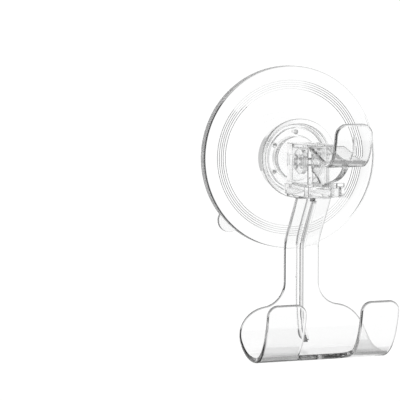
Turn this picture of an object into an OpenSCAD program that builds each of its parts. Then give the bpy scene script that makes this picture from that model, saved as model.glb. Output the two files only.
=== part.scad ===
// Clear lever-lock suction razor holder.
// Frame: origin at the centre of the suction cup on the wall plane (y = 0),
// +Z up, +X to the right, the holder stands out from the wall towards -Y.
// The lever is drawn locked, with the stud pulled away from the wall.

/* [Suction cup] */
// Outer radius of the cup
cup_r = 35; // [34:0.5:37]
// Thickness of the cup at its rim
rim_t = 4.4; // [4:0.1:5]
// Radius where the dish starts to climb to the hub
dish_r = 25.4; // [24:0.1:25.6]
// Distance of the dish floor from the wall
dish_d = 3.2; // [3:0.1:3.6]
// Depth of the five fine grooves
groove_h = 0.28; // [0.1:0.02:0.4]
// Radius of the pull tab
tab_r = 4.6; // [4:0.1:6]

/* [Insert and stud] */
// Radius of the moulded-in insert disc
insert_r = 12.6; // [12:0.1:12.6]
// Number of key holes in the insert
key_holes = 6; // [3:1:8]
// Diameter of a key hole
key_hole_d = 1.8; // [1:0.1:2.2]
// Travel of the stud between locked and released
stud_travel = 1.6; // [1:0.1:1.6]

/* [Housing] */
// Radius of the round flange
flange_r = 15.1; // [14.5:0.1:17]
// Distance of the flange front from the wall
flange_d = 13.3; // [13:0.1:13.6]
// Half width of the block
block_x = 5.2; // [5.1:0.1:5.3]
// Distance of the block front from the wall
block_d = 34.9; // [34:0.1:36]
// Top of the block
block_top = 6.2; // [6.1:0.1:7]

/* [Lever hook] */
// Half width of the hook
hook_x = 7.05; // [6:0.05:8]
// Plate thickness of the hook
hook_t = 2.1; // [1.8:0.1:2.4]
// Height of the lip tip above the axis of the cup
lip_top = 15; // [12:0.5:18]
// Half thickness of the lever web
web_x = 1.2; // [1:0.1:1.5]

/* [Razor tray] */
// Half width of the arm
arm_x = 7.05; // [6.5:0.05:8]
// Half width of the tray
tray_x = 25.7; // [23:0.1:30]
// Plate thickness of arm and tray
tray_t = 2; // [1.6:0.1:2.4]
// Half width of the gap for the razor handle
gap_x = 10.6; // [8:0.1:12]
// Height of the lip tips
tray_lip_z = -50.3; // [-54:0.1:-48]

/* [Pin] */
// Diameter of the lever pin
pin_dia = 3; // [2.6:0.1:3]

/* [Hidden] */
$fn = 96;
pin_d = 24.3;
pin_z = -0.4;
gap = 0.3;
cam_r = 6.2;
floor_d = pin_d - cam_r - 0.35;
cav_x = 3.7;
cav_top = block_top - 1.5;
shelf_z = -9;
block_bot = -13.3;
block_bot_back = -14.3;
stud_x = 1.5;
stud_h = 2.2;
eye_r = 2.9;
root_r = 4.7;
rail_bot = -12.8;
rail_top = -9;
bar_top = -7.6;
head_front = 40.6;
head_back = 15.4;

clear_soft = [0.93, 0.95, 0.96, 0.45];
clear_hard = [0.90, 0.93, 0.95, 0.40];

// ---- helpers -------------------------------------------------------------
// solid of revolution about the cup axis, points are [radius, distance from wall]
module lathe(pts, fn = 180) { rotate([90, 0, 0]) rotate_extrude($fn = fn) polygon(pts); }
// side profile [distance from wall, z] extruded across the width
module side(pts, x0, x1) { translate([x0, 0, 0]) rotate([90, 0, 90]) linear_extrude(x1 - x0) polygon([for (p = pts) [-p[0], p[1]]]); }
// front outline [x, z] extruded from distance d0 to d1 off the wall
module front(pts, d0, d1) { translate([0, -d0, 0]) rotate([90, 0, 0]) linear_extrude(d1 - d0) polygon(pts); }
// box from distance d0 to d1 off the wall
module slab(x0, x1, d0, d1, z0, z1) { translate([x0, -d1, z0]) cube([x1 - x0, d1 - d0, z1 - z0]); }
// cylinder along X
module rod(r, x0, x1, d, z, fn = 64) { translate([x0, -d, z]) rotate([0, 90, 0]) cylinder(r = r, h = x1 - x0, $fn = fn); }
function arc(c, r, a0, a1, n = 10) = [for (i = [0:n]) let (a = a0 + (a1 - a0) * i / n) [c[0] + r * cos(a), c[1] + r * sin(a)]];
function cr(a, b, c, d, t) = 0.5 * ((2 * b) + (c - a) * t + (2 * a - 5 * b + 4 * c - d) * t * t + (3 * b - 3 * c + d - a) * t * t * t);
function spline(p, n) = concat([for (i = [0:len(p) - 2]) for (k = [0:n - 1]) cr(p[max(i - 1, 0)], p[i], p[i + 1], p[min(i + 2, len(p) - 1)], k / n)], [p[len(p) - 1]]);
function unit(v) = v / norm(v);
function nrm(p, i) = let (t = unit(p[min(i + 1, len(p) - 1)] - p[max(i - 1, 0)])) [-t[1], t[0]];
function ribbon(p, h) = concat([for (i = [0:len(p) - 1]) p[i] + nrm(p, i) * h], [for (i = [len(p) - 1:-1:0]) p[i] - nrm(p, i) * h]);
function flip(p) = [for (i = [len(p) - 1:-1:0]) [-p[i][0], p[i][1]]];

// ---- suction cup ---------------------------------------------------------
groove_r = [26.38, 27.28, 28.04, 28.84, 29.62];
cup_in = insert_r + gap;
function groove(r) = let (d = dish_d + (r - dish_r) * 0.04) [[r + 0.3, d], [r, d - groove_h], [r - 0.3, d]];
module suction_cup() color(clear_soft) {
    difference() {
        lathe(concat(
            [[0, 1.1], [13, 1.1], [25.5, 0], [cup_r - 0.5, 0], [cup_r, 0.5], [cup_r, rim_t - 0.35], [cup_r - 0.35, rim_t], [cup_r - 0.9, rim_t]],
            [for (i = [4:-1:0]) each groove(groove_r[i])],
            [[dish_r, dish_d], [13.35, 7.95], [11.85, 7.95], [11.85, 7.0], [cup_in, 7.0], [cup_in, 2.5], [0, 2.5]]));
    }
    // pull tab in the plane of the wall
    rotate([0, 135, 0]) difference() {
        translate([cup_r - 1.2, 0, 0]) rotate([90, 0, 0]) cylinder(r = tab_r, h = 1.5, $fn = 64);
        rotate([90, 0, 0]) translate([0, 0, -1]) cylinder(r = cup_r - 0.1, h = 4, $fn = 180);
    }
}

// ---- insert disc with stud ------------------------------------------------
module stud_insert() color(clear_hard) {
    difference() {
        lathe([[0, 4.4], [insert_r, 4.4], [insert_r, 6.7], [11.5, 6.7], [11.5, 8.3], [11.2, 8.6], [8.8, 8.6], [8.8, 5.6], [8.2, 5.6], [8.2, 10.8], [0, 10.8]], 128);
        for (i = [0:key_holes - 1]) rotate([0, 90 + i * 360 / key_holes, 0]) translate([10, 0, 0]) rotate([90, 0, 0]) cylinder(d = key_hole_d, h = 12, $fn = 32);
    }
    difference() {
        union() {
            slab(-stud_x, stud_x, 10.7, pin_d, pin_z - stud_h, pin_z + stud_h);
            rod(eye_r, -stud_x, stud_x, pin_d, pin_z);
        }
        rod(pin_dia / 2, -stud_x - 1, stud_x + 1, pin_d, pin_z);
    }
}

// ---- housing: round flange and hollow block -------------------------------
module pin_slot(x0, x1) {
    rod(pin_dia / 2 + 0.06, x0, x1, pin_d, pin_z);
    rod(pin_dia / 2 + 0.06, x0, x1, pin_d - stud_travel, pin_z);
    slab(x0, x1, pin_d - stud_travel, pin_d, pin_z - pin_dia / 2 - 0.06, pin_z + pin_dia / 2 + 0.06);
}
module housing() color(clear_hard) {
    difference() {
        union() {
            lathe([[12.0, 7.95], [13.2, 7.95], [13.2, 11.9], [flange_r, 11.9], [flange_r, flange_d - 0.3], [flange_r - 0.3, flange_d], [0, flange_d], [0, 11.9], [12.0, 11.9]], 128);
            // block with rounded front corners
            side(concat([[flange_d - 0.1, block_bot_back], [block_d - 2.2, block_bot]], arc([block_d - 2.2, block_bot + 2.2], 2.2, -90, 0, 8), arc([block_d - 0.8, block_top - 0.8], 0.8, 0, 90, 4), [[flange_d - 0.1, block_top]]), -block_x, block_x);
        }
        // lever chamber, open to the front
        slab(-cav_x, cav_x, floor_d, block_d + 1, shelf_z, cav_top);
        // slot in the roof for the web of the lever
        slab(-web_x - gap, web_x + gap, 19.4, block_d + 1, cav_top - 0.5, block_top + 1);
        // lower chamber, open downwards and to the front
        slab(-cav_x, cav_x, 15.2, block_d + 1, block_bot_back - 1, shelf_z - 1.4);
        // passage for the stud
        slab(-stud_x - gap, stud_x + gap, 10, floor_d + 1, pin_z - stud_h - gap, pin_z + stud_h + gap);
        pin_slot(-block_x - 1, block_x + 1);
    }
}

// ---- razor tray: clip head, arm, rib and tray ------------------------------
arm_path = [[28.1, -13.0], [24.6, -18.2], [19.9, -25], [16.3, -30.6], [15.45, -33.6], [15.4, -37], [15.4, -46], [15.4, -55.5], [15.7, -60.5], [17.0, -65.2], [20.2, -69.1], [25.2, -71.8], [31.3, -72.7], [37.0, -71.8], [41.4, -69.0], [44.7, -64.6], [46.9, -58.9], [48.0, -53.9], [48.5, -48]];
tray_curve = spline(arm_path, 4);
f1 = 9;
f2 = (tray_x - arm_x - f1 * (1 - cos(82))) / (1 - cos(82));
c1 = [arm_x + f1, -46.8];
joint1 = [c1[0] + f1 * cos(262), c1[1] + f1 * sin(262)];
c2 = [joint1[0] + f2 * cos(262), joint1[1] + f2 * sin(262)];
back_half = concat([[arm_x, -5]], arc(c1, f1, 180, 262, 12), arc(c2, f2, 82, 0, 12), [[tray_x, -80]]);
back_outline = concat(back_half, flip(back_half));
lip_c = 4;
lip_top_half = concat([[gap_x, -60]], arc([gap_x + lip_c, tray_lip_z - lip_c], lip_c, 180, 90, 8), arc([tray_x - lip_c, tray_lip_z - lip_c], lip_c, 90, 0, 8), [[tray_x, -60]]);
// the handle gap seen from above, [x, distance from wall]
gap_back = 36.4;
gap_plan = concat([[gap_x, 60]], arc([gap_x - 5, gap_back + 5], 5, 0, -90, 8), arc([5 - gap_x, gap_back + 5], 5, -90, -180, 8), [[-gap_x, 60]]);
rib_pts = [for (i = [0:len(tray_curve) - 1]) if (tray_curve[i][0] < 22 || tray_curve[i][1] > -60) if (tray_curve[i][0] < 26.6 && tray_curve[i][1] > -69.3) tray_curve[i]];
module razor_tray() color(clear_hard) {
    difference() {
        intersection() {
            side(ribbon(tray_curve, tray_t / 2), -tray_x, tray_x);
            union() {
                front(back_outline, 5, 33);
                slab(-tray_x, tray_x, 30, 60, -80, -60);
                front(lip_top_half, 33, 60);
                front(flip(lip_top_half), 33, 60);
            }
        }
        translate([0, 0, -80]) linear_extrude(40) polygon([for (p = gap_plan) [p[0], -p[1]]]);
        // the arm stops under the block
        slab(-30, 30, 15, 45, block_bot - 0.35, 0);
    }
    // central rib, proud on both faces of the arm
    side(concat([for (i = [0:len(rib_pts) - 1]) rib_pts[i] + nrm(rib_pts, i) * (tray_t / 2 + 0.9)],
        [for (i = [len(rib_pts) - 1:-1:0]) let (k = i / (len(rib_pts) - 1)) rib_pts[i] - nrm(rib_pts, i) * (tray_t / 2 + 3.2 * min(1, 5 * k, 4 * (1 - k)))]), -1.05, 1.05);
    // fork that grips the lower part of the block: front bar and two rails
    difference() {
        union() {
            slab(-arm_x, arm_x, head_back, head_front, rail_bot, rail_top);
            slab(-arm_x, arm_x, head_front - 1.9, head_front, rail_bot, bar_top);
            // shoulders between the rails and the arm
            side([[23.5, rail_bot + 0.1], [32, rail_bot + 0.1], [28.6, block_bot - 0.5], [26.2, block_bot - 0.5]], -arm_x, arm_x);
        }
        slab(-block_x - 0.05, block_x + 0.05, head_back - 1, head_front - 1.9, block_bot - 0.35, rail_top + 1);
        // notch in the front bar for the tip of the lever web
        slab(-web_x - 0.5, web_x + 0.5, head_front - 3, head_front + 1, bar_top - 2.2, bar_top + 1);
        // shallow step along the top of the front bar
        slab(-4, 4, head_front - 0.6, head_front + 1, bar_top - 1.8, bar_top + 1);
    }
}

// ---- lever hook ------------------------------------------------------------
hook_path = [[39.7, 5.3], [43, 4.25], [47.5, 2.65], [52.0, 1.15], [55.3, 0.4], [58.6, 0.5], [61.4, 1.9], [63.2, 4.5], [64.3, 8], [65.1, 12], [65.7, 18]];
hook_curve = spline(hook_path, 5);
hook_half = concat([[hook_x, -10]], arc([hook_x - 4.2, lip_top - 4.2], 4.2, 0, 90, 8));
hook_outline = concat(hook_half, flip(hook_half));
web_low = concat(spline([[58.2, -0.4], [56.4, -2.4], [52.8, -4.6], [48.8, -6.1], [44.6, -7.0], [41.6, -7.7], [38.6, -8.8], [36.9, -9.2]], 4), spline([[36.2, -8.7], [35.6, -7.4], [33.4, -5.9], [31.0, -4.9], [28, -3.9]], 3));
cam = concat(
    [for (a = [0:9:90]) let (r = cam_r - stud_travel * a / 90) [pin_d - r * cos(a), pin_z + r * sin(a)]],
    [for (a = [100:10:280]) [pin_d - root_r * cos(a), pin_z + root_r * sin(a)]],
    [[pin_d - 4.6, pin_z - 3.2], [pin_d - cam_r, pin_z - 2.2]]);
module lever_hook() color(clear_hard) {
    difference() {
        union() {
            // hook plate
            intersection() {
                side(ribbon(hook_curve, hook_t / 2), -hook_x, hook_x);
                front(hook_outline, 30, 80);
            }
            // central web under the hook
            side(concat(web_low, [[26.2, -3.4], [26.2, 2.0], [31, 2.4], [39.5, 4.8], [43, 3.9], [52, 1.0], [57.4, 0.3]]), -web_x, web_x);
            // slim rib on the outside of the lip
            side([[58, -0.4], [62.6, 1.0], [65.3, 4.6], [66.3, 8.8], [66.1, 11.2], [65.0, 11.2], [63.4, 5.4], [60, 1.0]], -0.5, 0.5);
            // cam ears
            side(cam, -cav_x + gap, cav_x - gap);
        }
        // room for the stud between the ears
        slab(-stud_x - gap, stud_x + gap, pin_d - 12, pin_d + eye_r + gap, pin_z - 9, pin_z + 9);
        rod(pin_dia / 2 + 0.06, -6, 6, pin_d, pin_z);
    }
}

// ---- lever pin and its retaining clip --------------------------------------
module lever_pin() color(clear_hard) {
    rod(pin_dia / 2, -block_x - gap, block_x + 1.3, pin_d, pin_z);
    rod(2.7, -block_x - 1.2, -block_x - gap, pin_d, pin_z);
}
module pin_clip() color(clear_hard) difference() {
    rod(2.7, block_x + gap, block_x + 0.9, pin_d, pin_z);
    rod(pin_dia / 2, block_x, block_x + 2, pin_d, pin_z);
}

suction_cup();
stud_insert();
housing();
razor_tray();
lever_hook();
lever_pin();
pin_clip();
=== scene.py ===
"""Clear suction razor holder with a lever lock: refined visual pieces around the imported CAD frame.

Row frame: origin at the centre of the suction cup on the wall plane, +Z up, +X right,
the holder stands out from the wall towards -Y. Lengths below are in millimetres and
are scaled to metres when a mesh is made; d is the distance from the wall.
"""
import math
import bpy
import bmesh
from mathutils import Vector, Matrix


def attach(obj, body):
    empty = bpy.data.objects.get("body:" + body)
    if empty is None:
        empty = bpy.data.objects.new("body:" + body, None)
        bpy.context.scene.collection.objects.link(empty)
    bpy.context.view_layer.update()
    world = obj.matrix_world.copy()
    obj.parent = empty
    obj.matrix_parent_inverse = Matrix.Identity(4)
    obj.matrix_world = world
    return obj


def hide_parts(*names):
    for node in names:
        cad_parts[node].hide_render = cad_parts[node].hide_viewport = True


MM = 0.001
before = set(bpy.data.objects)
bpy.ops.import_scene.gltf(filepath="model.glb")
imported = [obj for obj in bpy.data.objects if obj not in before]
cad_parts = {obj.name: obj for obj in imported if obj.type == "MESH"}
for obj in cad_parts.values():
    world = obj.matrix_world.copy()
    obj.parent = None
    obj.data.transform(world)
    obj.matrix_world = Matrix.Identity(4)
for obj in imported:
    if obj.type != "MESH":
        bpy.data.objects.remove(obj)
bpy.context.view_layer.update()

# ---------------------------------------------------------------- helpers


def link(name, me):
    o = bpy.data.objects.new(name, me)
    bpy.context.scene.collection.objects.link(o)
    return o


def from_bm(name, bm):
    bmesh.ops.recalc_face_normals(bm, faces=bm.faces)
    me = bpy.data.meshes.new(name)
    bm.to_mesh(me)
    bm.free()
    return link(name, me)


def arc(cx, cy, r, a0, a1, n=10):
    return [(cx + r * math.cos(math.radians(a0 + (a1 - a0) * i / n)),
             cy + r * math.sin(math.radians(a0 + (a1 - a0) * i / n))) for i in range(n + 1)]


def rounded(pts, closed=True, seg=5):
    """Rounds the corners of a polyline. A point is (x, y) or (x, y, radius)."""
    out = []
    n = len(pts)
    for i, p in enumerate(pts):
        r = p[2] if len(p) > 2 else 0
        if not r or (not closed and i in (0, n - 1)):
            out.append((p[0], p[1]))
            continue
        a, b, c = (Vector(pts[i - 1][:2]), Vector(p[:2]), Vector(pts[(i + 1) % n][:2]))
        u, v = (a - b).normalized(), (c - b).normalized()
        ang = u.angle(v)
        if ang > math.radians(179):
            out.append((p[0], p[1]))
            continue
        t = min(r / math.tan(ang / 2), 0.49 * (a - b).length, 0.49 * (c - b).length)
        rr = t * math.tan(ang / 2)
        m = b + (u + v).normalized() * (rr / math.sin(ang / 2))
        s, e = b + u * t - m, b + v * t - m
        turn = s.angle(e)
        sign = 1 if s.x * e.y - s.y * e.x > 0 else -1
        k = max(2, min(seg * 3, round(seg * turn / (math.pi / 2)) + 1))
        for j in range(k + 1):
            w = sign * turn * j / k
            out.append((m.x + s.x * math.cos(w) - s.y * math.sin(w), m.y + s.x * math.sin(w) + s.y * math.cos(w)))
    return out


def lathe(name, prof, seg=192, place=None):
    """Solid of revolution about the cup axis from a closed profile of (radius, distance from the wall)."""
    bm = bmesh.new()
    rings = []
    for r, d in prof:
        if r < 1e-6:
            rings.append([bm.verts.new((0, -d * MM, 0))])
        else:
            rings.append([bm.verts.new((r * math.cos(2 * math.pi * k / seg) * MM, -d * MM, r * math.sin(2 * math.pi * k / seg) * MM))
                          for k in range(seg)])
    for i in range(len(rings)):
        a, b = rings[i], rings[(i + 1) % len(rings)]
        if len(a) == 1 and len(b) == 1:
            continue
        for k in range(seg):
            k2 = (k + 1) % seg
            if len(a) == 1:
                bm.faces.new((a[0], b[k2], b[k]))
            elif len(b) == 1:
                bm.faces.new((a[k], a[k2], b[0]))
            else:
                bm.faces.new((a[k], a[k2], b[k2], b[k]))
    if place is not None:
        bmesh.ops.transform(bm, matrix=place, verts=bm.verts)
    return from_bm(name, bm)


def prism(name, pts, lo, hi, where):
    """Extrudes an outline between lo and hi; where((u, v), w) gives the point in mm."""
    bm = bmesh.new()
    a = [bm.verts.new(Vector(where(p, lo)) * MM) for p in pts]
    b = [bm.verts.new(Vector(where(p, hi)) * MM) for p in pts]
    bm.faces.new(a)
    bm.faces.new(b[::-1])
    n = len(pts)
    for i in range(n):
        j = (i + 1) % n
        bm.faces.new((a[i], b[i], b[j], a[j]))
    return from_bm(name, bm)


def side(name, pts, x0, x1):
    """Side profile (distance from wall, z) extruded across the width."""
    return prism(name, pts, x0, x1, lambda p, w: (w, -p[0], p[1]))


def front(name, pts, d0, d1):
    """Front outline (x, z) extruded from d0 to d1."""
    return prism(name, pts, d0, d1, lambda p, w: (p[0], -w, p[1]))


def slab(name, x0, x1, d0, d1, z0, z1):
    return side(name, [(d0, z0), (d1, z0), (d1, z1), (d0, z1)], x0, x1)


def rod(name, r, x0, x1, d, z, seg=64, soft=0.0):
    """Cylinder along X, with rounded ends if soft is set."""
    prof = rounded([(0, x0), (r, x0, soft), (r, x1, soft), (0, x1)], closed=False, seg=4)
    o = lathe(name, [(p[0], p[1]) for p in prof], seg)
    # the lathe turns about -Y: swing that axis onto X
    o.data.transform(Matrix(((0, -1, 0, 0), (1, 0, 0, -d * MM), (0, 0, 1, z * MM), (0, 0, 0, 1))))
    return o


def settle(o):
    """Applies every modifier of o."""
    dg = bpy.context.evaluated_depsgraph_get()
    me = bpy.data.meshes.new_from_object(o.evaluated_get(dg), preserve_all_data_layers=True, depsgraph=dg)
    o.modifiers.clear()
    old = o.data
    o.data = me
    bpy.data.meshes.remove(old)
    return o


def combine(o, op, *others):
    for other in others:
        m = o.modifiers.new("c", "BOOLEAN")
        m.operation, m.object, m.solver = op, other, "EXACT"
        settle(o)
        bpy.data.objects.remove(other)
    return o


def weld(o, dist=0.002, flat=0.25):
    bm = bmesh.new()
    bm.from_mesh(o.data)
    bmesh.ops.remove_doubles(bm, verts=bm.verts, dist=dist * MM)
    bmesh.ops.dissolve_degenerate(bm, edges=bm.edges, dist=dist * MM)
    if flat:
        bmesh.ops.dissolve_limit(bm, angle_limit=math.radians(flat), verts=bm.verts, edges=bm.edges)
    bmesh.ops.recalc_face_normals(bm, faces=bm.faces)
    bm.to_mesh(o.data)
    bm.free()
    return o


def soften(o, width, seg=3, angle=30, clamp=True):
    """Rounds the edges that are sharper than angle."""
    m = o.modifiers.new("b", "BEVEL")
    m.width, m.segments, m.limit_method, m.angle_limit = width * MM, seg, "ANGLE", math.radians(angle)
    m.use_clamp_overlap, m.miter_outer, m.profile = clamp, "MITER_SHARP", 0.5
    return settle(o)


def smooth(o, angle=35):
    """Smooth shading with area-weighted normals, so that flat faces stay flat up to their rounded edges."""
    me = o.data
    me.shade_smooth()
    me.set_sharp_from_angle(angle=math.radians(angle))
    m = o.modifiers.new("n", "WEIGHTED_NORMAL")
    m.mode, m.weight, m.keep_sharp = "FACE_AREA", 60, True
    return settle(o)


def spline(p, n):
    """Catmull-Rom curve through the points, n steps between two."""
    out = []
    for i in range(len(p) - 1):
        a, b, c, e = p[max(i - 1, 0)], p[i], p[i + 1], p[min(i + 2, len(p) - 1)]
        for k in range(n):
            t = k / n
            out.append(tuple(0.5 * (2 * b[j] + (c[j] - a[j]) * t + (2 * a[j] - 5 * b[j] + 4 * c[j] - e[j]) * t * t
                                    + (3 * b[j] - 3 * c[j] + e[j] - a[j]) * t ** 3) for j in (0, 1)))
    return out + [tuple(p[-1])]


class Path:
    """A curve in (distance from wall, z) measured by its own length, with its normal."""

    def __init__(self, pts, n=24):
        self.p = spline(pts, n)
        self.s = [0.0]
        for a, b in zip(self.p, self.p[1:]):
            self.s.append(self.s[-1] + math.dist(a, b))
        self.length = self.s[-1]

    def at(self, s):
        s = max(0.0, min(self.length, s))
        lo, hi = 0, len(self.s) - 1
        while hi - lo > 1:
            mid = (lo + hi) // 2
            if self.s[mid] <= s:
                lo = mid
            else:
                hi = mid
        t = (s - self.s[lo]) / max(1e-9, self.s[hi] - self.s[lo])
        return tuple(self.p[lo][j] + (self.p[hi][j] - self.p[lo][j]) * t for j in (0, 1))

    def normal(self, s, h=0.35):
        a, b = self.at(s - h), self.at(s + h)
        n = math.dist(a, b)
        return (-(b[1] - a[1]) / n, (b[0] - a[0]) / n)

    def find(self, test):
        """First length at which test(d, z) holds."""
        s = 0.0
        while s < self.length:
            if test(*self.at(s)):
                return s
            s += 0.02
        return self.length


def bent_plate(name, outline, thick, path, edge, step=0.8, seg=4):
    """A plate cut to outline (x, length along path), its edges rounded, then bent along the path.
    Its + side follows the path's normal."""
    o = prism(name, outline, -thick / 2, thick / 2, lambda p, w: (p[0], p[1], w))
    # only the rims of the two faces are rounded
    me = o.data
    att = me.attributes.new("bevel_weight_edge", "FLOAT", "EDGE")
    for e in me.edges:
        a, b = me.vertices[e.vertices[0]].co, me.vertices[e.vertices[1]].co
        att.data[e.index].value = 1.0 if abs(a.z - b.z) < 1e-6 else 0.0
    m = o.modifiers.new("b", "BEVEL")
    m.width, m.segments, m.limit_method = edge * MM, seg, "WEIGHT"
    m.use_clamp_overlap, m.profile = False, 0.5
    settle(o)
    bm = bmesh.new()
    bm.from_mesh(o.data)
    s = step
    top = max(p[1] for p in outline)
    while s < top:
        geom = bm.verts[:] + bm.edges[:] + bm.faces[:]
        bmesh.ops.bisect_plane(bm, geom=geom, dist=1e-7, plane_co=(0, s * MM, 0), plane_no=(0, 1, 0))
        s += step
    bmesh.ops.triangulate(bm, faces=bm.faces[:])
    for v in bm.verts:
        x, s, n = v.co.x, v.co.y / MM, v.co.z / MM
        d, z = path.at(s)
        nd, nz = path.normal(s)
        v.co = (x, -(d + n * nd) * MM, (z + n * nz) * MM)
    bmesh.ops.recalc_face_normals(bm, faces=bm.faces)
    bm.to_mesh(o.data)
    bm.free()
    return o


# ---------------------------------------------------------------- materials


def principled(name):
    m = bpy.data.materials.new(name)
    m.use_nodes = True
    nt = m.node_tree
    return m, nt, nt.nodes["Principled BSDF"]


def clear_plastic(name, ior, rough, tint, wave, wave_scale):
    """Clear moulded plastic: faint flow ripples in the surface and a slightly uneven polish."""
    m, nt, b = principled(name)
    b.inputs["Base Color"].default_value = (*tint, 1)
    b.inputs["IOR"].default_value = ior
    b.inputs["Transmission Weight"].default_value = 1.0
    co = nt.nodes.new("ShaderNodeTexCoord")
    flow = nt.nodes.new("ShaderNodeTexNoise")
    flow.inputs["Scale"].default_value = wave_scale
    flow.inputs["Detail"].default_value = 1.5
    bump = nt.nodes.new("ShaderNodeBump")
    bump.inputs["Strength"].default_value = wave
    bump.inputs["Distance"].default_value = 0.0002
    polish = nt.nodes.new("ShaderNodeTexNoise")
    polish.inputs["Scale"].default_value = wave_scale * 2.3
    polish.inputs["Detail"].default_value = 3.0
    span = nt.nodes.new("ShaderNodeMapRange")
    span.inputs["To Min"].default_value = rough[0]
    span.inputs["To Max"].default_value = rough[1]
    nt.links.new(co.outputs["Object"], flow.inputs["Vector"])
    nt.links.new(co.outputs["Object"], polish.inputs["Vector"])
    nt.links.new(flow.outputs["Fac"], bump.inputs["Height"])
    nt.links.new(bump.outputs["Normal"], b.inputs["Normal"])
    nt.links.new(polish.outputs["Fac"], span.inputs["Value"])
    nt.links.new(span.outputs["Result"], b.inputs["Roughness"])
    return m


SOFT = clear_plastic("clear_soft_pvc", 1.50, (0.0, 0.02), (0.997, 0.999, 0.999), 0.015, 60)
# the outer side wall of the cup is left slightly matte by the mould
nt = SOFT.node_tree
b = nt.nodes["Principled BSDF"]
old = b.inputs["Roughness"].links[0].from_socket
parts = nt.nodes.new("ShaderNodeSeparateXYZ")
nt.links.new(nt.nodes.new("ShaderNodeTexCoord").outputs["Object"], parts.inputs[0])
flat = nt.nodes.new("ShaderNodeCombineXYZ")
nt.links.new(parts.outputs[0], flat.inputs[0])
nt.links.new(parts.outputs[2], flat.inputs[2])
reach = nt.nodes.new("ShaderNodeVectorMath")
reach.operation = "LENGTH"
nt.links.new(flat.outputs[0], reach.inputs[0])
edge = nt.nodes.new("ShaderNodeMapRange")
edge.interpolation_type = "SMOOTHSTEP"
nt.links.new(reach.outputs["Value"], edge.inputs["Value"])
for key, v in (("From Min", 0.03505), ("From Max", 0.0351), ("To Min", 0.0), ("To Max", 0.4)):
    edge.inputs[key].default_value = v
top = nt.nodes.new("ShaderNodeMath")
top.operation = "MAXIMUM"
nt.links.new(old, top.inputs[0])
nt.links.new(edge.outputs[0], top.inputs[1])
nt.links.new(top.outputs[0], b.inputs["Roughness"])
HARD = clear_plastic("clear_acrylic", 1.49, (0.0, 0.012), (0.998, 0.999, 0.999), 0.01, 45)

# faces where two clear pieces are bonded or wetted together: the joint is almost invisible
BOND, nt, b = principled("clear_bonded_joint")
b.inputs["Base Color"].default_value = (1, 1, 1, 1)
b.inputs["IOR"].default_value = 1.0
b.inputs["Transmission Weight"].default_value = 1.0
film = nt.nodes.new("ShaderNodeTexNoise")
film.inputs["Scale"].default_value = 400.0
thin = nt.nodes.new("ShaderNodeMapRange")
thin.inputs["To Max"].default_value = 0.001
nt.links.new(nt.nodes.new("ShaderNodeTexCoord").outputs["Object"], film.inputs["Vector"])
nt.links.new(film.outputs["Fac"], thin.inputs["Value"])
nt.links.new(thin.outputs["Result"], b.inputs["Roughness"])


def bonded(o, test):
    """Marks the faces whose centre passes test(x, d, z, r) as bonded; r is the distance from the cup axis."""
    for f in o.data.polygons:
        x, d, z = f.center.x / MM, -f.center.y / MM, f.center.z / MM
        f.material_index = 1 if test(x, d, z, math.hypot(x, z)) else 0


def near_pin(r):
    return lambda x, d, z, _: math.hypot(d - 24.3, z + 0.4) < r and abs(x) < 5.45


# ---------------------------------------------------------------- suction cup

dish_r, dish_d = 25.4, 3.2
prof = [(0, 1.1), (13, 1.1), (25.5, 0.0, 2), (35.2, 0.0, 0.15), (35.1, 4.4, 1.7), (33.2, 4.4)]
for r in (29.62, 28.84, 28.04, 27.28, 26.38):
    g = dish_d + (r - dish_r) * 0.04
    prof += [(r + 0.14, g, 0.03), (r, g - 0.22, 0.04), (r - 0.14, g, 0.03)]
prof += [(dish_r, dish_d, 0.4), (13.35, 7.95, 0.3), (11.85, 7.95, 0.15), (11.85, 7.0), (12.9, 7.0, 0.2), (12.9, 2.5, 0.3), (0, 2.5)]
cup = lathe("suction_cup_soft", rounded(prof, closed=False), 256)
tab = lathe("tab", rounded([(0, 0), (4.6, 0, 0.25), (4.6, 1.5, 0.4), (0, 1.5)], closed=False), 72,
            Matrix.Translation((-33.8 * math.sqrt(0.5) * MM, 0, -33.8 * math.sqrt(0.5) * MM)))
cut = lathe("tabcut", [(0, -1), (34.7, -1), (34.7, 3), (0, 3)], 256)
combine(tab, "DIFFERENCE", cut)
combine(cup, "UNION", tab)
weld(cup, 0.002, 0)
smooth(cup, 40)

# ---------------------------------------------------------------- insert and stud

ins = lathe("insert", rounded([(0, 4.4), (12.6, 4.4, 0.25), (12.6, 6.7, 0.2), (11.5, 6.7), (11.5, 8.6, 0.3), (8.8, 8.6, 0.15),
                               (8.8, 5.6, 0.1), (8.2, 5.6, 0.1), (8.2, 10.8, 0.25), (0, 10.8)], closed=False), 144)
for k in range(6):
    a = math.radians(90 + 60 * k)
    hole = lathe("hole", rounded([(0, 3), (0.9, 3), (0.9, 8.5), (1.15, 8.75), (1.15, 9.5), (0, 9.5)], closed=False), 32,
                 Matrix.Translation((10 * math.cos(a) * MM, 0, 10 * math.sin(a) * MM)))
    combine(ins, "DIFFERENCE", hole)
bar = side("bar", arc(24.3, -0.4, 2.9, -128, 128, 28) + [(22.3, 1.8), (10.4, 1.8), (10.4, -2.6), (22.3, -2.6)], -1.5, 1.5)
combine(bar, "DIFFERENCE", rod("eye", 1.5, -3, 3, 24.3, -0.4))
weld(bar)
soften(bar, 0.35, 3, 40)
combine(ins, "UNION", bar)
weld(ins, 0.002, 0)
ins.name = "stud_insert_clear"
smooth(ins)

# ---------------------------------------------------------------- housing

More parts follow.
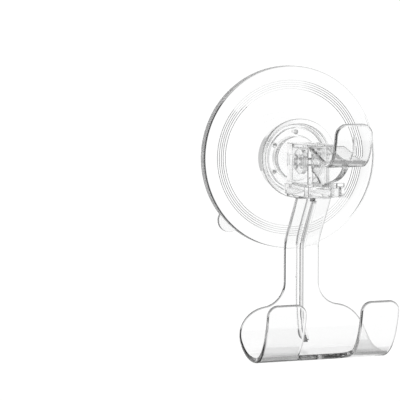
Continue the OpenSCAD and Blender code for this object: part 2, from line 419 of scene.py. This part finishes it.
fl = lathe("housing_clear", rounded([(12.0, 7.95), (13.2, 7.95, 0.2), (13.2, 11.9, 0.2), (15.1, 11.9, 0.25), (15.1, 13.3, 0.4), (0, 13.3), (0, 11.9), (12.0, 11.9, 0.15)], closed=True), 192)
block = side("block", [(13.0, -14.3), (32.7, -13.38)] + arc(32.7, -11.1, 2.2, -88, 0, 8) + arc(34.1, 5.4, 0.8, 0, 90, 4) + [(13.0, 6.2)], -5.2, 5.2)
combine(block, "DIFFERENCE",
        slab("chamber", -3.7, 3.7, 17.75, 36, -9, 4.7),
        slab("roof", -1.5, 1.5, 19.4, 36, 4.2, 8),
        slab("lower", -3.7, 3.7, 15.2, 36, -16, -10.4))
weld(block)
soften(block, 0.42, 3, 35, clamp=False)
combine(block, "DIFFERENCE",
        slab("pass", -1.8, 1.8, 10, 18.5, -2.9, 2.1),
        side("slot", arc(24.3, -0.4, 1.56, -90, 90, 16) + arc(22.7, -0.4, 1.56, 90, 270, 16), -7, 7))
weld(block, 0.002, 0)
combine(fl, "UNION", block)
combine(fl, "DIFFERENCE", slab("pass2", -1.8, 1.8, 10, 18.0, -2.9, 2.1))
weld(fl, 0.002, 0)
smooth(fl)

# ---------------------------------------------------------------- razor tray

ARM = [(28.1, -13.0), (24.6, -18.2), (19.9, -25), (16.3, -30.6), (15.45, -33.6), (15.4, -37), (15.4, -46), (15.4, -55.5), (15.7, -60.5),
       (17.0, -65.2), (20.2, -69.1), (25.2, -71.8), (31.3, -72.7), (37.0, -71.8), (41.4, -69.0), (44.7, -64.6), (46.9, -58.9), (48.0, -53.9), (48.5, -48)]
arm = Path(ARM)
tray_x, arm_x, gap_x, lip_z, lip_c = 25.7, 7.05, 10.6, -50.3, 4.0
f1 = 9.0
f2 = (tray_x - arm_x - f1 * (1 - math.cos(math.radians(82)))) / (1 - math.cos(math.radians(82)))
c1 = (arm_x + f1, -46.8)
j1 = (c1[0] + f1 * math.cos(math.radians(262)), c1[1] + f1 * math.sin(math.radians(262)))
c2 = (j1[0] + f2 * math.cos(math.radians(262)), j1[1] + f2 * math.sin(math.radians(262)))
shoulder = arc(*c1, f1, 180, 262, 20) + arc(*c2, f2, 82, 0, 24)[1:]
s_low = arm.find(lambda d, z: d > 30)


def s_back(z):
    return arm.find(lambda d, zz: zz < z)


def s_lip(z):
    return arm.find(lambda d, zz: d > 33 and zz > z)


s_gap = arm.find(lambda d, z: d > 36.4)
half = [(arm_x, 0.0)] + [(x, s_back(z)) for x, z in shoulder]
half += [(tray_x, s_lip(lip_z - lip_c))]
half += [(x, s_lip(z)) for x, z in arc(tray_x - lip_c, lip_z - lip_c, lip_c, 0, 90, 10)[1:]]
half += [(x, s_lip(z)) for x, z in arc(gap_x + lip_c, lip_z - lip_c, lip_c, 90, 180, 10)]
gap_pts = []
for x, d in arc(gap_x - 5, 36.4 + 5, 5, 0, -90, 12):
    gap_pts.append((x, arm.find(lambda dd, zz, d=d: dd > d)))
half += gap_pts
tray = bent_plate("razor_tray_clear", half + [(-x, s) for x, s in half[::-1]], 2.0, arm, 0.8)
combine(tray, "DIFFERENCE", slab("top", -30, 30, 15, 45, -13.7, 0))

# central rib on both faces of the arm
n_rib = 90
s0, s1 = arm.find(lambda d, z: z < -14.3), s_back(-69.3)
rib_f, rib_b = [], []
for i in range(n_rib + 1):
    s = s0 + (s1 - s0) * i / n_rib
    (d, z), (nd, nz) = arm.at(s), arm.normal(s, 0.8)
    k = i / n_rib
    o = 0.9 + min(1, 0.3 + 40 * k)
    rib_f.append((d + nd * o, z + nz * o))
    h = 1.0 + 3.2 * min(1, 14 * (1 - k))
    if nz < -0.1:    # stay below the fork
        h = max(1.0, min(h, (z + 13.8) / nz))
    rib_b.append((d - nd * h, z - nz * h))
rib = side("rib", rib_f + rib_b[::-1], -1.05, 1.05)
soften(rib, 0.3, 3, 50)

# fork that grips the lower part of the block
forks = slab("fork", -7.05, 7.05, 15.4, 40.6, -12.8, -9.0)
combine(forks, "UNION", slab("bar2", -7.05, 7.05, 38.7, 40.6, -12.8, -7.6),
        side("shoulders", [(23.5, -12.7), (32, -12.7), (28.4, -13.9), (26.3, -13.9)], -7.04, 7.04))
combine(forks, "DIFFERENCE",
        slab("mouth", -5.25, 5.25, 14, 38.7, -13.62, -8),
        slab("notch", -1.7, 1.7, 37, 42, -9.8, -6),
        slab("step", -4, 4, 40.0, 42, -9.4, -6))
weld(forks)
soften(forks, 0.18, 3, 35)
combine(tray, "UNION", rib, forks)
weld(tray, 0.002, 0)
smooth(tray)

# ---------------------------------------------------------------- lever hook

HOOK = [(39.7, 5.3), (43, 4.25), (47.5, 2.65), (52.0, 1.15), (55.3, 0.4), (58.6, 0.5), (61.4, 1.9), (63.2, 4.5), (64.3, 8), (65.1, 12), (65.7, 18)]
hook = Path(HOOK)


def s_hook(z):
    return hook.find(lambda d, zz: d > 60 and zz > z)


hx = 7.05
half = [(hx, 0.0), (hx, s_hook(15 - 4.2))] + [(x, s_hook(z)) for x, z in arc(hx - 4.2, 15 - 4.2, 4.2, 0, 90, 12)[1:]]
lever = bent_plate("lever_hook_clear", half + [(-x, s) for x, s in half[::-1]], 2.1, hook, 0.8)
low = spline([(58.2, -0.4), (56.4, -2.4), (52.8, -4.6), (48.8, -6.1), (44.6, -7.0), (41.6, -7.7), (38.6, -8.8), (36.9, -9.2)], 5)
low += spline([(36.2, -8.7), (35.6, -7.4), (33.4, -5.9), (31.0, -4.9), (28, -3.9)], 4)
web = side("web", low + [(26.2, -3.4), (26.2, 2.0), (31, 2.4), (39.5, 4.8), (43, 3.9), (52, 1.0), (57.4, 0.3)], -1.2, 1.2)
soften(web, 0.25, 3, 50)
lip_rib = side("lip_rib", [(58, -0.4), (62.6, 1.0), (65.3, 4.6), (66.3, 8.8), (66.1, 11.2), (65.0, 11.2), (63.4, 5.4), (60, 1.0)], -0.5, 0.5)
soften(lip_rib, 0.15, 2, 50)
cam = [(24.3 - (6.2 - 1.6 * a / 90) * math.cos(math.radians(a)), -0.4 + (6.2 - 1.6 * a / 90) * math.sin(math.radians(a))) for a in range(0, 91, 6)]
cam += [(24.3 - 4.7 * math.cos(math.radians(a)), -0.4 + 4.7 * math.sin(math.radians(a))) for a in range(100, 281, 6)]
cam += [(24.3 - 4.6, -3.6), (24.3 - 6.2, -2.6)]
ears = side("ears", cam, -3.4, 3.4)
combine(ears, "UNION", web)
combine(ears, "DIFFERENCE", slab("room", -1.8, 1.8, 12.3, 27.5, -9.4, 8.6), rod("bore", 1.56, -6, 6, 24.3, -0.4))
weld(ears)
soften(ears, 0.3, 3, 40)
combine(lever, "UNION", ears, lip_rib)
weld(lever, 0.002, 0)
smooth(lever)

# ---------------------------------------------------------------- pin and clip

pin = lathe("p", rounded([(0, -6.4), (2.7, -6.4, 0.45), (2.7, -5.5, 0.12), (1.5, -5.5), (1.5, 6.5, 0.3), (0, 6.5)], closed=False), 64)
turn = Matrix(((0, -1, 0, 0), (1, 0, 0, -24.3 * MM), (0, 0, 1, -0.4 * MM), (0, 0, 0, 1)))
pin.data.transform(turn)
pin.name = "lever_pin_clear"
smooth(pin)
clip = lathe("pin_clip_clear", rounded([(1.5, 5.5, 0.06), (2.7, 5.5, 0.15), (2.7, 6.1, 0.15), (1.5, 6.1, 0.06)], closed=True), 64)
clip.data.transform(turn)
smooth(clip)

bonded(cup, lambda x, d, z, r: r < 12.95 and 2.4 < d < 7.05)
bonded(ins, lambda x, d, z, r: (r > 11.45 and d < 6.75) or d < 4.45 or near_pin(1.6)(x, d, z, r))
bonded(lever, near_pin(1.6))
bonded(pin, lambda x, d, z, r: near_pin(1.51)(x, d, z, r) and abs(x) < 5.3)

for o, body, node, slot, mat in (
        (cup, "base", "suction_cup", "soft_clear", SOFT),
        (ins, "stud", "stud_insert", "insert_clear", HARD),
        (fl, "base", "housing", "housing_clear", HARD),
        (tray, "base", "razor_tray", "tray_clear", HARD),
        (lever, "lever", "lever_hook", "lever_clear", HARD),
        (pin, "stud", "lever_pin", "pin_clear", HARD),
        (clip, "stud", "pin_clip", "pin_clear", HARD)):
    o.data.materials.clear()
    o.data.materials.append(mat)
    o.data.materials.append(BOND)
    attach(o, body)
    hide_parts(node)

# ---------------------------------------------------------------- stage, light, camera

sc = bpy.context.scene
sc.view_settings.view_transform = "Standard"
sc.cycles.max_bounces = 32
sc.cycles.transmission_bounces = 32
sc.cycles.glossy_bounces = 16

floor = bpy.data.meshes.new("floor")
floor.from_pydata([(-0.55, -0.55, -0.25), (0.55, -0.55, -0.25), (0.55, 0.55, -0.25), (-0.55, 0.55, -0.25)], [], [(0, 1, 2, 3)])
floor = link("floor", floor)
FM, nt, b = principled("pale_floor")
b.inputs["Base Color"].default_value = (0.9, 0.9, 0.9, 1)
b.inputs["Roughness"].default_value = 0.9
# painted light: the pale floor glows by its own emission, growing from dim near the object to bright towards the
# backdrop, in place of a lamp lighting its far part
b.inputs["Emission Color"].default_value = (1, 1, 1, 1)
part = nt.nodes.new("ShaderNodeSeparateXYZ")
nt.links.new(nt.nodes.new("ShaderNodeTexCoord").outputs["Object"], part.inputs[0])
painted_floor_glow = nt.nodes.new("ShaderNodeMapRange")
painted_floor_glow.interpolation_type = "SMOOTHSTEP"
nt.links.new(part.outputs[1], painted_floor_glow.inputs["Value"])
for key, v in (("From Min", 0.12), ("From Max", 0.5), ("To Min", 0.18), ("To Max", 0.72)):
    painted_floor_glow.inputs[key].default_value = v
nt.links.new(painted_floor_glow.outputs[0], b.inputs["Emission Strength"])
floor.data.materials.append(FM)

# Studio light by direction: a white backdrop behind the object, a broad softbox behind the
# camera, one window at each side, and dim room between them, which draws the dark edges.
world = bpy.data.worlds.new("studio")
sc.world = world
world.use_nodes = True
nt = world.node_tree
new, wire = nt.nodes.new, nt.links.new


def math_node(op, *args, clamp=False):
    n = new("ShaderNodeMath")
    n.operation, n.use_clamp = op, clamp
    for k, v in enumerate(args):
        if isinstance(v, (int, float)):
            n.inputs[k].default_value = v
        else:
            wire(v, n.inputs[k])
    return n.outputs[0]


def ramp(value, a, b, lo, hi):
    n = new("ShaderNodeMapRange")
    n.interpolation_type = "SMOOTHSTEP"
    wire(value, n.inputs["Value"])
    for key, v in (("From Min", a), ("From Max", b), ("To Min", lo), ("To Max", hi)):
        n.inputs[key].default_value = v
    return n.outputs[0]


axes = new("ShaderNodeSeparateXYZ")
wire(new("ShaderNodeTexCoord").outputs["Generated"], axes.inputs[0])
flat_len = math_node("MAXIMUM", math_node("SQRT", math_node("ADD", math_node("MULTIPLY", axes.outputs[0], axes.outputs[0]),
                                                          math_node("MULTIPLY", axes.outputs[1], axes.outputs[1]))), 1e-5)
height = math_node("DEGREES", math_node("ARCSINE", axes.outputs[2]))
glow = 0.02
for centre, half, low_el, high_el, soft_az, soft_el, value in (
        # towards, half width, lowest, highest, edge blur in azimuth and in height (degrees), brightness
        (-85, 62, -72, 30, 14, 12, 0.22),
        (-38, 16, -34, 30, 8, 8, 0.55),
        (-125, 24, -45, 30, 8, 8, 0.85),
        (-90, 17, -34, 14, 5, 5, 1.0),
        (180, 36, -36, 29, 3, 4, 1.0),
        (130, 13, -10, 29, 3, 3, 0.8),
        (93, 12, -34, 12, 4, 5, 0.9),
        (7, 29, -90, 42, 6, 8, 0.93),
        (16, 16, -20, 14, 6, 6, 1.06)):
    c = math.radians(centre)
    cosine = math_node("DIVIDE", math_node("ADD", math_node("MULTIPLY", axes.outputs[0], math.sin(c)),
                                           math_node("MULTIPLY", axes.outputs[1], math.cos(c))), flat_len)
    off = math_node("DEGREES", math_node("ARCCOSINE", math_node("MINIMUM", math_node("MAXIMUM", cosine, -1.0), 1.0)))
    mask = math_node("MULTIPLY", ramp(off, half - soft_az, half + soft_az, 1, 0),
                     math_node("MULTIPLY", ramp(height, low_el - soft_el, low_el + soft_el, 0, 1),
                               ramp(height, high_el - soft_el, high_el + soft_el, 1, 0)))
    mix = new("ShaderNodeMix")
    mix.data_type = "FLOAT"
    wire(mask, mix.inputs[0])
    if isinstance(glow, float):
        mix.inputs[2].default_value = glow
    else:
        wire(glow, mix.inputs[2])
    mix.inputs[3].default_value = value
    glow = mix.outputs[0]
# the room is dim only where the plastic bends the view to it; seen directly it is plain white
seen = new("ShaderNodeLightPath").outputs["Is Camera Ray"]
glow = math_node("MAXIMUM", glow, math_node("MULTIPLY", seen, 1.05))
wire(glow, nt.nodes["Background"].inputs["Strength"])
nt.nodes["Background"].inputs["Color"].default_value = (1, 1, 1, 1)

cam_data = bpy.data.cameras.new("camera")
cam_data.lens, cam_data.sensor_width, cam_data.sensor_fit = 144.27, 36.0, "AUTO"
cam_data.clip_start, cam_data.clip_end = 0.01, 50
cam_obj = bpy.data.objects.new("camera", cam_data)
sc.collection.objects.link(cam_obj)
yaw, pitch = 0.3103324, -0.0842908
fwd = Vector((math.sin(yaw) * math.cos(pitch), math.cos(yaw) * math.cos(pitch), math.sin(pitch)))
right = Vector((math.cos(yaw), -math.sin(yaw), 0))
up = right.cross(fwd)
cam_obj.matrix_world = Matrix(((right.x, up.x, -fwd.x, -0.2220251), (right.y, up.y, -fwd.y, -0.5817587), (right.z, up.z, -fwd.z, 0.0354885), (0, 0, 0, 1)))
sc.camera = cam_obj
